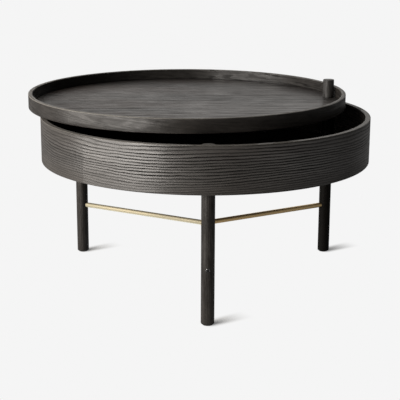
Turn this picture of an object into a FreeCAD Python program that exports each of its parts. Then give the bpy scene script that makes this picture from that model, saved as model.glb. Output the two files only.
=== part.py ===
import FreeCAD, Part
import Sketcher
import os

# Swivel coffee table: a round storage drum on three legs, braced by three rods that meet on
# the drum's axis, under a tray that swings aside about the top of one leg.
# Frame: millimetres, Z up, X to the right and Y away from the viewer. The origin is on the
# floor below the drum's axis. The tray is stored partly swung open.

SIZES = {
    # Drum
    "table_diameter": 650.0,
    "rim_height": 332.0,
    "drum_height": 88.0,
    "drum_wall": 10.0,
    "drum_bottom_thickness": 9.0,
    "drum_rabbet": 4.0,
    "drum_edge_round": 1.2,
    # Legs and feet
    "leg_diameter": 24.6,
    "leg_seat_depth": 0.4,
    "foot_round": 2.5,
    "leg_end_round": 0.8,
    "pad_diameter": 19.0,
    "pad_thickness": 1.5,
    # Rods and their hub
    "rod_diameter": 10.0,
    "rod_height": 105.0,
    "rod_socket_depth": 12.0,
    "hub_diameter": 16.0,
    "hub_height": 14.0,
    "hub_round": 1.2,
    # Screws from outside each leg into the rod's end
    "rod_screw_diameter": 4.0,
    "rod_screw_grip": 8.0,
    "rod_screw_head_diameter": 8.0,
    "rod_screw_head_height": 4.0,
    "rod_screw_recess": 4.6,
    # Screws from inside each leg into the drum wall
    "leg_screw_diameter": 4.0,
    "leg_screw_bite": 6.0,
    "leg_screw_head_diameter": 8.0,
    "leg_screw_head_height": 3.0,
    "leg_screw_recess": 4.5,
    "leg_screw_edge": 12.0,
    # Tray
    "tray_gap": 1.0,
    "tray_height": 28.0,
    "tray_rim_thickness": 8.5,
    "tray_floor_thickness": 6.0,
    "tray_rabbet": 4.0,
    "tray_tongue": 3.0,
    "tray_edge_round": 1.2,
    # Swivel
    "spindle_diameter": 8.0,
    "spindle_clearance": 0.05,
    "spindle_chamfer": 0.8,
    "bush_wall": 3.0,
    "bush_flange": 2.0,
    "flange_inset": 1.3,
    "thrust_washer_thickness": 1.5,
    "top_washer_thickness": 0.8,
    "top_washer_inset": 1.5,
    "washer_seat_depth": 0.5,
    "insert_wall": 2.0,
    "leg_insert_length": 18.0,
    "knob_insert_length": 18.0,
    "knob_height": 37.5,
    "knob_rim_gap": 1.9,
    "knob_clearance": 0.3,
    "knob_round": 1.0,
    "knob_base_chamfer": 0.4,
    # Fits, in radius
    "fit_gap": 0.05,
    "screw_tip_gap": 0.5,
    # Angles in degrees
    "pivot_angle": 30.0,
    "rest_swing": -20.0,
}
LEG_COUNT = 3
FULL_TURN = 360
NEAR = 1e-4

# Derived sizes, as expressions on the sheet
DRUM_INSIDE = "(Sheet.table_diameter / 2 - Sheet.drum_wall)"
DRUM_RABBET = f"({DRUM_INSIDE} + Sheet.drum_rabbet)"
DRUM_ROUND = "min(Sheet.drum_edge_round; (Sheet.drum_wall - Sheet.drum_rabbet) / 3)"
DRUM_FOOT = "(Sheet.rim_height - Sheet.drum_height)"
DRUM_FLOOR = f"({DRUM_FOOT} + Sheet.drum_bottom_thickness)"
LEG_RADIUS = "(Sheet.leg_diameter / 2)"
LEG_CIRCLE = f"({DRUM_INSIDE} - {LEG_RADIUS} + Sheet.leg_seat_depth)"
TRAY_UNDERSIDE = "(Sheet.rim_height + Sheet.tray_gap)"
LEG_TOP = f"({TRAY_UNDERSIDE} - Sheet.bush_flange - Sheet.thrust_washer_thickness)"
LEG_LENGTH = f"({LEG_TOP} - Sheet.pad_thickness)"
TRAY_INSIDE = "(Sheet.table_diameter / 2 - Sheet.tray_rim_thickness)"
TRAY_RABBET = f"({TRAY_INSIDE} + Sheet.tray_rabbet)"
TRAY_ROUND = "min(Sheet.tray_edge_round; (Sheet.tray_rim_thickness - Sheet.tray_rabbet) / 3)"
TRAY_FLOOR = f"({TRAY_UNDERSIDE} + Sheet.tray_floor_thickness)"
ROD_RADIUS = "(Sheet.rod_diameter / 2)"
ROD_START = ROD_RADIUS
ROD_END = f"({LEG_CIRCLE} - {LEG_RADIUS} + Sheet.rod_socket_depth)"
ROD_SCREW_SEAT = f"({LEG_CIRCLE} + {LEG_RADIUS} - Sheet.rod_screw_recess)"
LEG_SCREW_SEAT = f"({LEG_CIRCLE} - {LEG_RADIUS} + Sheet.leg_screw_recess)"
LEG_SCREW_TIP = f"({DRUM_INSIDE} + Sheet.leg_screw_bite)"
LOWER_SCREW = f"({DRUM_FLOOR} + Sheet.leg_screw_edge)"
UPPER_SCREW = f"({LEG_TOP} - Sheet.leg_insert_length - Sheet.leg_screw_edge)"
SPINDLE_RADIUS = "(Sheet.spindle_diameter / 2)"
BUSH_RADIUS = f"({SPINDLE_RADIUS} + Sheet.bush_wall)"
BUSH_BORE = f"({SPINDLE_RADIUS} + Sheet.spindle_clearance)"
FLANGE_RADIUS = f"({LEG_RADIUS} - Sheet.flange_inset)"
INSERT_RADIUS = f"({SPINDLE_RADIUS} + Sheet.insert_wall)"
KNOB_RADIUS = f"({TRAY_INSIDE} - {LEG_CIRCLE} - Sheet.knob_rim_gap)"
WASHER_SEAT = f"({TRAY_FLOOR} - Sheet.washer_seat_depth)"
KNOB_BASE = f"({WASHER_SEAT} + Sheet.top_washer_thickness)"
PIVOT_X = f"{LEG_CIRCLE} * cos(Sheet.pivot_angle)"
PIVOT_Y = f"{LEG_CIRCLE} * sin(Sheet.pivot_angle)"

doc = FreeCAD.newDocument("swivel_coffee_table")
sheet = doc.addObject("Spreadsheet::Sheet", "Sheet")
for row, (alias, value) in enumerate(SIZES.items(), start=1):
    sheet.set(f"A{row}", alias)
    sheet.set(f"B{row}", str(value))
    sheet.setAlias(f"B{row}", alias)
doc.recompute()


def number(expression):
    """Present value of an expression on the sheet."""
    return float(sheet.evalExpression(expression))


def loosened(radius, gap="Sheet.fit_gap"):
    """Radius of a hole that takes a round piece of the given radius."""
    return f"({radius} + {gap})"


def new_body(label, height="0", angle=None, x=None, y=None):
    """Empty body at a height above the floor, turned about Z and moved in plan."""
    body = doc.addObject("PartDesign::Body", label)
    body.Label = label
    body.setExpression("Placement.Base.z", height)
    if x is not None:
        body.setExpression("Placement.Base.x", x)
        body.setExpression("Placement.Base.y", y)
    if angle is not None:
        body.setExpression("Placement.Rotation.Angle", angle)
    return body


def origin_feature(body, role):
    return next(item for item in body.Origin.OriginFeatures if item.Role == role)


def new_sketch(body, name, role, offset=None):
    """Sketch on one of the body's own planes, moved along the plane's normal."""
    sketch = body.newObject("Sketcher::SketchObject", name)
    sketch.AttachmentSupport = (origin_feature(body, role), [""])
    sketch.MapMode = "FlatFace"
    if offset is not None:
        sketch.setExpression("AttachmentOffset.Base.z", offset)
    return sketch


def bind(sketch, constraint, name, expression):
    """Add a dimension to a sketch and tie it to the sheet."""
    index = sketch.addConstraint(constraint)
    sketch.renameConstraint(index, name)
    sketch.setExpression(f"Constraints.{name}", expression)


def place_point(sketch, geometry, vertex, name, across, up):
    """Fix one point of a sketch at expressions across and up from its origin."""
    if across == "0":
        sketch.addConstraint(Sketcher.Constraint("PointOnObject", geometry, vertex, -2))
    else:
        distance = Sketcher.Constraint("DistanceX", -1, 1, geometry, vertex, number(across))
        bind(sketch, distance, f"{name}_across", across)
    if up == "0":
        sketch.addConstraint(Sketcher.Constraint("PointOnObject", geometry, vertex, -1))
    else:
        distance = Sketcher.Constraint("DistanceY", -1, 1, geometry, vertex, number(up))
        bind(sketch, distance, f"{name}_up", up)


def add_circle(sketch, name, radius, across="0", up="0"):
    """Circle of a bound radius about a bound centre."""
    centre = FreeCAD.Vector(number(across), number(up), 0)
    circle = Part.Circle(centre, FreeCAD.Vector(0, 0, 1), number(radius))
    index = sketch.addGeometry(circle, False)
    place_point(sketch, index, 3, name, across, up)
    bind(sketch, Sketcher.Constraint("Radius", index, number(radius)), f"{name}_radius", radius)


def add_outline(sketch, corners):
    """Closed outline of straight edges through corners given as pairs of expressions."""
    points = [FreeCAD.Vector(number(across), number(up), 0) for across, up in corners]
    count = len(points)
    for index, point in enumerate(points):
        sketch.addGeometry(Part.LineSegment(point, points[(index + 1) % count]), False)
    for index in range(count):
        following = (index + 1) % count
        sketch.addConstraint(Sketcher.Constraint("Coincident", index, 2, following, 1))
    for index, (across, up) in enumerate(corners):
        place_point(sketch, index, 1, f"corner_{index}", across, up)


def pad(body, sketch, length):
    feature = body.newObject("PartDesign::Pad", f"{sketch.Name}_pad")
    feature.Profile = sketch
    feature.setExpression("Length", length)
    return feature


def pocket(body, sketch, length=None, forwards=False):
    """Cut against the sketch's normal, or forwards along it; right through without a length."""
    feature = body.newObject("PartDesign::Pocket", f"{sketch.Name}_pocket")
    feature.Profile = sketch
    feature.Reversed = forwards
    if length is None:
        feature.Type = "ThroughAll"
    else:
        feature.setExpression("Length", length)
    return feature


def revolve(body, sketch, axis="V_Axis"):
    feature = body.newObject("PartDesign::Revolution", f"{sketch.Name}_turned")
    feature.Profile = sketch
    feature.ReferenceAxis = (sketch, [axis])
    feature.Angle = FULL_TURN
    return feature


def repeat_at_legs(body, feature):
    """Copy a cut to every leg position about the body's Z axis."""
    pattern = body.newObject("PartDesign::PolarPattern", f"{feature.Name}_pattern")
    pattern.Originals = [feature]
    pattern.Axis = (origin_feature(body, "Z_Axis"), [""])
    pattern.Angle = FULL_TURN
    pattern.Occurrences = LEG_COUNT
    body.Tip = pattern
    return pattern


def ring_edges(feature, rings):
    """Names of a feature's circular edges about Z at the given radii and heights."""
    names = []
    wanted = [(number(radius), number(height)) for radius, height in rings]
    for index, edge in enumerate(feature.Shape.Edges, start=1):
        if not isinstance(edge.Curve, Part.Circle):
            continue
        radius = edge.Curve.Radius
        height = edge.Curve.Center.z
        if any(abs(radius - r) < NEAR and abs(height - h) < NEAR for r, h in wanted):
            names.append(f"Edge{index}")
    if len(names) < len(rings):
        raise RuntimeError(f"{feature.Name}: an edge to be eased is missing")
    return names


def ease(body, feature, kind, size, rings):
    """Fillet or chamfer the circular edges at the given radii and heights."""
    doc.recompute()
    edges = ring_edges(feature, rings)
    eased = body.newObject(f"PartDesign::{kind}", f"{body.Name}_{kind.lower()}")
    eased.Base = (feature, edges)
    eased.setExpression("Radius" if kind == "Fillet" else "Size", size)
    return eased


def bent_wall(label, height, angle, x, y, outside, inside, rabbet, shoulder, top, edge):
    """Ring of bent wood with a rabbet inside its lower edge for a bottom plate."""
    body = new_body(label, height, angle, x, y)
    sketch = new_sketch(body, f"{label}_section", "XZ_Plane")
    corners = [(rabbet, "0"), (outside, "0"), (outside, top), (inside, top)]
    corners += [(inside, shoulder), (rabbet, shoulder)]
    add_outline(sketch, corners)
    ring = revolve(body, sketch)
    ease(body, ring, "Fillet", edge, [(outside, "0"), (outside, top), (inside, top)])
    return body


def make_drum_wall():
    """Drum wall, with blind holes inside it for the legs' screws."""
    outside = "Sheet.table_diameter / 2"
    shoulder = "Sheet.drum_bottom_thickness"
    body = bent_wall("drum_wall", DRUM_FOOT, "Sheet.pivot_angle", None, None, outside,
                     DRUM_INSIDE, DRUM_RABBET, shoulder, "Sheet.drum_height", DRUM_ROUND)
    depth = f"{LEG_SCREW_TIP} + Sheet.screw_tip_gap - {LEG_CIRCLE}"
    sketch = new_sketch(body, "drum_wall_pilots", "YZ_Plane", LEG_CIRCLE)
    pilot = loosened("Sheet.leg_screw_diameter / 2")
    add_circle(sketch, "lower", pilot, "0", f"{LOWER_SCREW} - {DRUM_FOOT}")
    add_circle(sketch, "upper", pilot, "0", f"{UPPER_SCREW} - {DRUM_FOOT}")
    repeat_at_legs(body, pocket(body, sketch, depth, forwards=True))


def make_drum_bottom():
    """Bottom plate in the drum's rabbet, with a hole for each leg."""
    body = new_body("drum_bottom", DRUM_FOOT, "Sheet.pivot_angle")
    disc = new_sketch(body, "drum_bottom_disc", "XY_Plane")
    add_circle(disc, "edge", loosened(DRUM_RABBET, "-Sheet.fit_gap"))
    pad(body, disc, "Sheet.drum_bottom_thickness")
    hole = new_sketch(body, "drum_bottom_leg_hole", "XY_Plane")
    add_circle(hole, "leg", loosened(LEG_RADIUS), LEG_CIRCLE)
    repeat_at_legs(body, pocket(body, hole, forwards=True))


def make_leg(label, angle, carries_tray):
    """Turned leg: its axis is the body's Z axis, and the body's X points out of the drum."""
    across = f"{LEG_CIRCLE} * cos({angle})"
    along = f"{LEG_CIRCLE} * sin({angle})"
    body = new_body(label, "Sheet.pad_thickness", angle, across, along)
    section = new_sketch(body, f"{label}_section", "XY_Plane")
    add_circle(section, "leg", LEG_RADIUS)
    dowel = pad(body, section, LEG_LENGTH)
    footed = ease(body, dowel, "Fillet", "Sheet.foot_round", [(LEG_RADIUS, "0")])
    ease(body, footed, "Fillet", "Sheet.leg_end_round", [(LEG_RADIUS, LEG_LENGTH)])

    # Seat that lies against the inside of the drum wall
    seat = new_sketch(body, f"{label}_seat", "XY_Plane", LEG_LENGTH)
    add_circle(seat, "wall", loosened(DRUM_INSIDE, "-Sheet.fit_gap"), f"-{LEG_CIRCLE}")
    add_circle(seat, "beyond", f"({DRUM_INSIDE} + {LEG_RADIUS})", f"-{LEG_CIRCLE}")
    pocket(body, seat, f"{LEG_TOP} - {DRUM_FLOOR}")

    # Blind socket for the rod, and the recessed screw hole that meets it from outside
    rod_up = "Sheet.rod_height - Sheet.pad_thickness"
    socket = new_sketch(body, f"{label}_rod_socket", "YZ_Plane", f"{ROD_END} - {LEG_CIRCLE}")
    add_circle(socket, "rod", loosened(ROD_RADIUS), "0", rod_up)
    pocket(body, socket)
    shank = new_sketch(body, f"{label}_rod_screw_hole", "YZ_Plane", f"{ROD_END} - {LEG_CIRCLE}")
    add_circle(shank, "shank", loosened("Sheet.rod_screw_diameter / 2"), "0", rod_up)
    pocket(body, shank, forwards=True)
    recess = new_sketch(body, f"{label}_rod_screw_recess", "YZ_Plane",
                        f"{ROD_SCREW_SEAT} - {LEG_CIRCLE}")
    head = loosened("Sheet.rod_screw_head_diameter / 2")
    add_circle(recess, "head", head, "0", rod_up)
    pocket(body, recess, forwards=True)

    # Holes for the two screws that hold the leg to the drum wall
    screw_recess = new_sketch(body, f"{label}_wall_screw_recess", "YZ_Plane",
                              f"{LEG_SCREW_SEAT} - {LEG_CIRCLE}")
    screw_shank = new_sketch(body, f"{label}_wall_screw_hole", "YZ_Plane",
                             f"{LEG_SCREW_SEAT} - {LEG_CIRCLE}")
    for name, height in (("lower", LOWER_SCREW), ("upper", UPPER_SCREW)):
        up = f"{height} - Sheet.pad_thickness"
        add_circle(screw_recess, name, loosened("Sheet.leg_screw_head_diameter / 2"), "0", up)
        add_circle(screw_shank, name, loosened("Sheet.leg_screw_diameter / 2"), "0", up)
    pocket(body, screw_recess)
    pocket(body, screw_shank, forwards=True)

    if carries_tray:
        bore = new_sketch(body, f"{label}_insert_bore", "XY_Plane", LEG_LENGTH)
        add_circle(bore, "insert", loosened(INSERT_RADIUS))
        pocket(body, bore, "Sheet.leg_insert_length")


def make_foot_pad(label, angle):
    """Felt disc under a leg."""
    across = f"{LEG_CIRCLE} * cos({angle})"
    along = f"{LEG_CIRCLE} * sin({angle})"
    body = new_body(label, "0", angle, across, along)
    sketch = new_sketch(body, f"{label}_disc", "XY_Plane")
    add_circle(sketch, "edge", "Sheet.pad_diameter / 2")
    pad(body, sketch, "Sheet.pad_thickness")


def make_rod(label, angle):
    """Rod along the body's X axis from the hub to a leg, drilled for its screw."""
    body = new_body(label, "Sheet.rod_height", angle)
    section = new_sketch(body, f"{label}_section", "YZ_Plane", ROD_START)
    add_circle(section, "rod", ROD_RADIUS)
    pad(body, section, f"{ROD_END} - {ROD_START}")
    drilling = new_sketch(body, f"{label}_drilling", "YZ_Plane", ROD_END)
    add_circle(drilling, "screw", loosened("Sheet.rod_screw_diameter / 2"))
    pocket(body, drilling, "Sheet.rod_screw_grip + Sheet.screw_tip_gap")


def make_rod_hub():
    """Round hub on the drum's axis, with a socket for each rod."""
    body = new_body("rod_hub", "Sheet.rod_height - Sheet.hub_height / 2", "Sheet.pivot_angle")
    section = new_sketch(body, "rod_hub_section", "XY_Plane")
    radius = "(Sheet.hub_diameter / 2)"
    add_circle(section, "hub", radius)
    blank = pad(body, section, "Sheet.hub_height")
    rings = [(radius, "0"), (radius, "Sheet.hub_height")]
    ease(body, blank, "Fillet", "Sheet.hub_round", rings)
    socket = new_sketch(body, "rod_hub_socket", "YZ_Plane", ROD_START)
    add_circle(socket, "rod", loosened(ROD_RADIUS), "0", "Sheet.hub_height / 2")
    repeat_at_legs(body, pocket(body, socket, forwards=True))


def make_screw(label, angle, height, tip, seat, top, shank_radius, head_radius):
    """Screw along the body's X axis, between places measured from the drum's axis."""
    body = new_body(label, height, angle)
    sketch = new_sketch(body, f"{label}_half", "XZ_Plane")
    corners = [(tip, "0"), (tip, shank_radius), (seat, shank_radius)]
    corners += [(seat, head_radius), (top, head_radius), (top, "0")]
    add_outline(sketch, corners)
    revolve(body, sketch, "H_Axis")


def make_tray_rim(angle, x, y):
    """Bent rim of the tray."""
    outside = "Sheet.table_diameter / 2"
    shoulder = "Sheet.tray_tongue"
    bent_wall("tray_rim", TRAY_UNDERSIDE, angle, x, y, outside, TRAY_INSIDE, TRAY_RABBET,
              shoulder, "Sheet.tray_height", TRAY_ROUND)


def make_tray_floor(angle, x, y):
    """Round panel whose tongue lies in the rim's rabbet, with the pivot's seat and hole."""
    body = new_body("tray_floor", TRAY_UNDERSIDE, angle, x, y)
    tongue = new_sketch(body, "tray_floor_tongue", "XY_Plane")
    add_circle(tongue, "edge", loosened(TRAY_RABBET, "-Sheet.fit_gap"))
    pad(body, tongue, "Sheet.tray_tongue")
    panel = new_sketch(body, "tray_floor_panel", "XY_Plane")
    add_circle(panel, "edge", loosened(TRAY_INSIDE, "-Sheet.fit_gap"))
    pad(body, panel, "Sheet.tray_floor_thickness")

    # Shallow seat for the top washer, wide enough to clear the knob that doesn't turn
    seat = new_sketch(body, "tray_floor_washer_seat", "XY_Plane", "Sheet.tray_floor_thickness")
    add_circle(seat, "knob", loosened(KNOB_RADIUS, "Sheet.knob_clearance"), LEG_CIRCLE)
    pocket(body, seat, "Sheet.washer_seat_depth")
    hole = new_sketch(body, "tray_floor_bush_hole", "XY_Plane")
    add_circle(hole, "bush", loosened(BUSH_RADIUS), LEG_CIRCLE)
    pocket(body, hole, forwards=True)


def make_pivot_bush():
    """Flanged bush in the tray floor, with its flange below the tray."""
    height = f"{TRAY_UNDERSIDE} - Sheet.bush_flange"
    body = new_body("pivot_bush", height, None, PIVOT_X, PIVOT_Y)
    sketch = new_sketch(body, "pivot_bush_half", "XZ_Plane")
    flange = "Sheet.bush_flange"
    top = "Sheet.bush_flange + Sheet.tray_floor_thickness - Sheet.washer_seat_depth"
    corners = [(BUSH_BORE, "0"), (FLANGE_RADIUS, "0"), (FLANGE_RADIUS, flange)]
    corners += [(BUSH_RADIUS, flange), (BUSH_RADIUS, top), (BUSH_BORE, top)]
    add_outline(sketch, corners)
    revolve(body, sketch)


def make_ring(label, height, outside, inside, length):
    """Plain sleeve or washer on the pivot's axis."""
    body = new_body(label, height, None, PIVOT_X, PIVOT_Y)
    sketch = new_sketch(body, f"{label}_section", "XY_Plane")
    add_circle(sketch, "outside", outside)
    add_circle(sketch, "inside", inside)
    pad(body, sketch, length)


def make_pivot_spindle():
    """Stud from the leg's insert, through the tray, to the knob's insert."""
    start = f"{LEG_TOP} - Sheet.leg_insert_length"
    length = f"({KNOB_BASE} + Sheet.knob_insert_length - ({start}))"
    body = new_body("pivot_spindle", start, None, PIVOT_X, PIVOT_Y)
    sketch = new_sketch(body, "pivot_spindle_section", "XY_Plane")
    add_circle(sketch, "stud", SPINDLE_RADIUS)
    stud = pad(body, sketch, length)
    rings = [(SPINDLE_RADIUS, "0"), (SPINDLE_RADIUS, length)]
    ease(body, stud, "Chamfer", "Sheet.spindle_chamfer", rings)


def make_knob():
    """Dowel knob that caps the spindle, bored from below for its insert."""
    body = new_body("knob", KNOB_BASE, None, PIVOT_X, PIVOT_Y)
    section = new_sketch(body, "knob_section", "XY_Plane")
    add_circle(section, "knob", KNOB_RADIUS)
    dowel = pad(body, section, "Sheet.knob_height")
    rounded = ease(body, dowel, "Fillet", "Sheet.knob_round", [(KNOB_RADIUS, "Sheet.knob_height")])
    ease(body, rounded, "Chamfer", "Sheet.knob_base_chamfer", [(KNOB_RADIUS, "0")])
    bore = new_sketch(body, "knob_insert_bore", "XY_Plane")
    add_circle(bore, "insert", loosened(INSERT_RADIUS))
    pocket(body, bore, "Sheet.knob_insert_length", forwards=True)


def make_swivel():
    """Inserts, washers, bush, spindle and knob in line on the pivot leg's axis."""
    bore = loosened(SPINDLE_RADIUS)
    leg_insert_base = f"{LEG_TOP} - Sheet.leg_insert_length"
    washer_radius = f"({KNOB_RADIUS} - Sheet.top_washer_inset)"
    make_ring("leg_insert", leg_insert_base, INSERT_RADIUS, bore, "Sheet.leg_insert_length")
    make_ring("thrust_washer", LEG_TOP, FLANGE_RADIUS, bore, "Sheet.thrust_washer_thickness")
    make_pivot_bush()
    make_ring("top_washer", WASHER_SEAT, washer_radius, bore, "Sheet.top_washer_thickness")
    make_ring("knob_insert", KNOB_BASE, INSERT_RADIUS, bore, "Sheet.knob_insert_length")
    make_pivot_spindle()
    make_knob()


def make_leg_group(side, angle):
    """One leg with its foot pad, rod and screws."""
    make_leg(f"{side}_leg", angle, carries_tray=side == "pivot")
    make_foot_pad(f"{side}_foot_pad", angle)
    make_rod(f"{side}_rod", angle)
    make_screw(f"{side}_rod_screw", angle, "Sheet.rod_height",
               f"{ROD_END} - Sheet.rod_screw_grip", ROD_SCREW_SEAT,
               f"{ROD_SCREW_SEAT} + Sheet.rod_screw_head_height",
               "Sheet.rod_screw_diameter / 2", "Sheet.rod_screw_head_diameter / 2")
    for name, height in (("lower", LOWER_SCREW), ("upper", UPPER_SCREW)):
        make_screw(f"{side}_leg_{name}_screw", angle, height, LEG_SCREW_TIP, LEG_SCREW_SEAT,
                   f"{LEG_SCREW_SEAT} - Sheet.leg_screw_head_height",
                   "Sheet.leg_screw_diameter / 2", "Sheet.leg_screw_head_diameter / 2")


def make_tray():
    """Tray about the drum's axis when closed, here swung open about the pivot leg."""
    angle = "Sheet.pivot_angle + Sheet.rest_swing"
    x = f"{LEG_CIRCLE} * (cos(Sheet.pivot_angle) - cos({angle}))"
    y = f"{LEG_CIRCLE} * (sin(Sheet.pivot_angle) - sin({angle}))"
    make_tray_rim(angle, x, y)
    make_tray_floor(angle, x, y)


def check_and_write():
    """Stop on any failed feature, then write every sub-part to its own file."""
    doc.recompute()
    for item in doc.Objects:
        if "Invalid" in item.State or "Error" in item.State:
            raise RuntimeError(f"{item.Name} failed: {item.State}")
    bodies = [item for item in doc.Objects if item.TypeId == "PartDesign::Body"]
    for body in bodies:
        if body.Shape.isNull() or not body.Shape.isValid() or len(body.Shape.Solids) != 1:
            raise RuntimeError(f"{body.Label} has no single valid solid")
    os.makedirs("parts", exist_ok=True)
    for body in bodies:
        body.Shape.exportStep(f"parts/{body.Label}.step")
        print(f"{body.Label}: {body.Shape.Volume:.1f} mm3")


make_drum_wall()
make_drum_bottom()
for step, leg_side in enumerate(("pivot", "left", "front")):
    make_leg_group(leg_side, f"(Sheet.pivot_angle + {step * FULL_TURN / LEG_COUNT})")
make_rod_hub()
make_tray()
make_swivel()
check_and_write()
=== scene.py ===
import math

import bmesh
import bpy
from bpy.props import FloatProperty, FloatVectorProperty, PointerProperty
from mathutils import Matrix, Vector


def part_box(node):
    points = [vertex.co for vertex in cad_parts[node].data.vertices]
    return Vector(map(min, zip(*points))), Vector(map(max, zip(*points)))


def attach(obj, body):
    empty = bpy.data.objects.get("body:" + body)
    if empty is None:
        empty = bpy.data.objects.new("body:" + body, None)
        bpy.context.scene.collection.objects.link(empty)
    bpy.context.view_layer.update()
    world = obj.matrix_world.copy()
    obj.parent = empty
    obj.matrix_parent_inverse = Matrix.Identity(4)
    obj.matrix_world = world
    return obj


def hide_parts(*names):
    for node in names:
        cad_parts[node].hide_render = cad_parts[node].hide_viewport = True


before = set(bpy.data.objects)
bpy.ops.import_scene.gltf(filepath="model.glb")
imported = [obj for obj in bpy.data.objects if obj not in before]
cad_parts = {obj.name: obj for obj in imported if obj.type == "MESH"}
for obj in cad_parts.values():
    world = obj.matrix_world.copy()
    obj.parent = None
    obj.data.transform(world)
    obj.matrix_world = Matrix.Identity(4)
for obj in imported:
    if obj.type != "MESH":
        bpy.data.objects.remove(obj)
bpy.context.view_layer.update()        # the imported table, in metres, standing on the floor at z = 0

bl_info = {
    "name": "Swivel coffee table",
    "version": (1, 0, 0),
    "blender": (4, 5, 0),
    "location": "3D View > Sidebar > Swivel table",
    "description": "Finishes a swivel coffee table of black stained ash and brass, and lights it",
    "category": "Object",
}

LEGS = ("front", "left", "pivot")

# Modelling
TINY = 1e-5  # a corner this near to a level lies on it
FLAT = 0.99  # a face is level where its normal is this upright
SCREW_SIDES = 48
SCREW_CRISP = math.radians(30)  # edges sharper than this stay crisp
CROSS_TAPER = (0.35, 0.7, 1)  # the cross recess at its bottom, against its top
PAD_SIDES = 64
PAD_RINGS = 3  # rings of faces between a pad's middle and its edge
PAD_CRISP = math.radians(60)

# A Mix node's sockets by number, since those for values, vectors and colours share their names
MIX_SHARE = 0
MIX_FIRST = 6
MIX_SECOND = 7
MIX_COLOUR = 2  # among its outputs

# Wood. A pair of values is where a change begins and ends. A level goes with its changes along a piece, and
# each change has its start, its end and its amount.
LACQUER_IOR = 1.8
LACQUER_ROUGHNESS = 0.27
WOOD_SPECULAR = 0.16
GRAIN_RELIEF = 0.0004  # depth of the brushed grain
RUBBED_AND_LIT_BAND = (0.0003, 0.0016)  # below a top edge, where wear and a painted highlight make it lighter
# how much lighter top edges are made by wear and a painted highlight
RUBBING_AND_EDGE_LIGHT = 0.8
EARLY_WOOD = (0.16, 0.58)  # the share of a year's growth that its open line takes
YEAR_STRENGTH = (0.30, 0.62)  # a noise that makes some years' lines stronger
PORES = (0.52, 0.70)  # a noise of fibres, where they are open
BROWN_PATCH = (0.35, 0.65)  # a noise, where brown shows through
LEG_RIGHT = (-0.004, 0.008)  # from a leg's axis to its right side, where painted shade comes in

# The drum's wall, down from its top edge
DRUM_CLOSING = 480.0  # how fast its rings close up, per square metre
DRUM_SLIP_DROP = (0.045, 0.080)  # where the lines drop away beside the joint
DRUM_DULL_DROP = (0.055, 0.085)  # where the lacquer is duller
DRUM_LACQUER = {"level": 0.3, "changes": ((0.0003, 0.0018, 0.50), (0.004, 0.030, 0.20))}
DRUM_CALM = {"level": 0.20, "changes": ((0.006, 0.024, -0.20), (0.050, 0.080, 0.45))}

# The drum's wall, round from its joint at the front left to the front, the right, the back and the left
DRUM_SLIP = {"level": 0.0, "changes": ((1.70, 2.04, 0.004),)}
DRUM_DULL = {"level": 0.0, "changes": ((0.14, 0.20, 0.22), (1.5, 1.7, 0.22))}
DRUM_LINES = {
    "level": 1.0,
    "changes": ((0.06, 0.14, 0.42), (0.36, 0.56, -0.42), (0.40, 0.56, -0.25), (1.84, 2.04, 0.20)),
}
DRUM_SHEEN = {
    "level": 0.95,
    "changes": (
        (0.04, 0.13, 0.55), (0.18, 0.29, -0.52), (0.29, 0.38, 0.68), (0.42, 0.56, -1.06),
        (1.74, 2.00, 0.22)),
}

# The tray's rim, down from its top edge and in from its outer face
RIM_SCARF = 9.0  # how far the glued joint runs along it, for each metre down
RIM_LACQUER = {"level": 0.3, "changes": ((0.0003, 0.0018, 0.4),)}
RIM_LOWER = (0.012, 0.025)  # its lower half
RIM_CORNER_SHADE = (0.0195, 0.0215)  # where its inside is painted darker above the floor, as shade in the corner
RIM_INSIDE = (0.003, 0.007)  # between its outer and inner face
RIM_FIGURE = 8  # rings in a patch of the flat-cut figure
RIM_INSIDE_RINGS = 120  # more of them per metre down the inside

# The tray's rim, round from its joint at the front, as an angle; changes come back to where they began
RIM_LIT = ((-0.52, -0.12), (0.06, 0.20))  # where its lower half is painted lighter as a highlight, and has more lacquer
# how much lighter the top edge is made by wear and a painted highlight, most at the left and front left
RIM_RUBBING_AND_EDGE_LIGHT = {"level": 0.7, "changes": ((-2.6, -1.6, 0.7), (-0.15, 0.10, -0.45), (1.2, 2.4, -0.25))}
RIM_SHEEN = {
    "level": 0.66,
    "changes": (
        (-0.72, -0.52, -0.20), (-0.40, 0.05, 0.85), (0.02, 0.13, -0.70), (0.15, 0.85, -0.20),
        (1.2, 2.4, 0.25)),
}

# The inside of the tray's rim, round from its joint, in metres
RIM_PALE_END = (0.78, 0.88)  # up to here its inside is painted lighter, as light falling on it
RIM_GLOSSY = (0.92, 1.00)  # from here it has more lacquer
RIM_BACK_LEFT_SHADE = ((1.06, 1.32), (1.60, 1.76))  # painted shade, almost black at the back left

# The tray's floor, from its centre to the right and to the back
FLOOR_BROWN = (-0.15, 0.15)  # brown shows less towards the right
FLOOR_GLOSS = (-0.15, 0.25)  # a little more lacquer towards the back

# Brass and steel
ROD_UNDERSIDE = (-0.0035, -0.0005)  # from a rod's axis, where its underside is painted paler, as a reflection of the pale floor
STEEL_DULL = (0.35, 0.70)  # a noise, where the plating is duller
HEAD_RIM = (0.72, 0.86)  # shares of a screw head's radius, where its rim is rubbed

# Studio
FLOOR_SIZE = 80
LAMP_GAP = 0.01  # between the lamp and the floor
PAPER_DIMMED = 0.6  # the paper's colour where the camera doesn't see it
POOL_LIGHT = 0.72  # a painted pool of light on the floor, as gloss shows it
POOL_ROUND = 0.12  # the floor round the pool, as gloss shows it
POOL_OVAL = 0.5  # under 1 draws the pool out from front to back
POOL_RIGHT = (-0.06, 0.08)  # the pool ends towards the right
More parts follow.
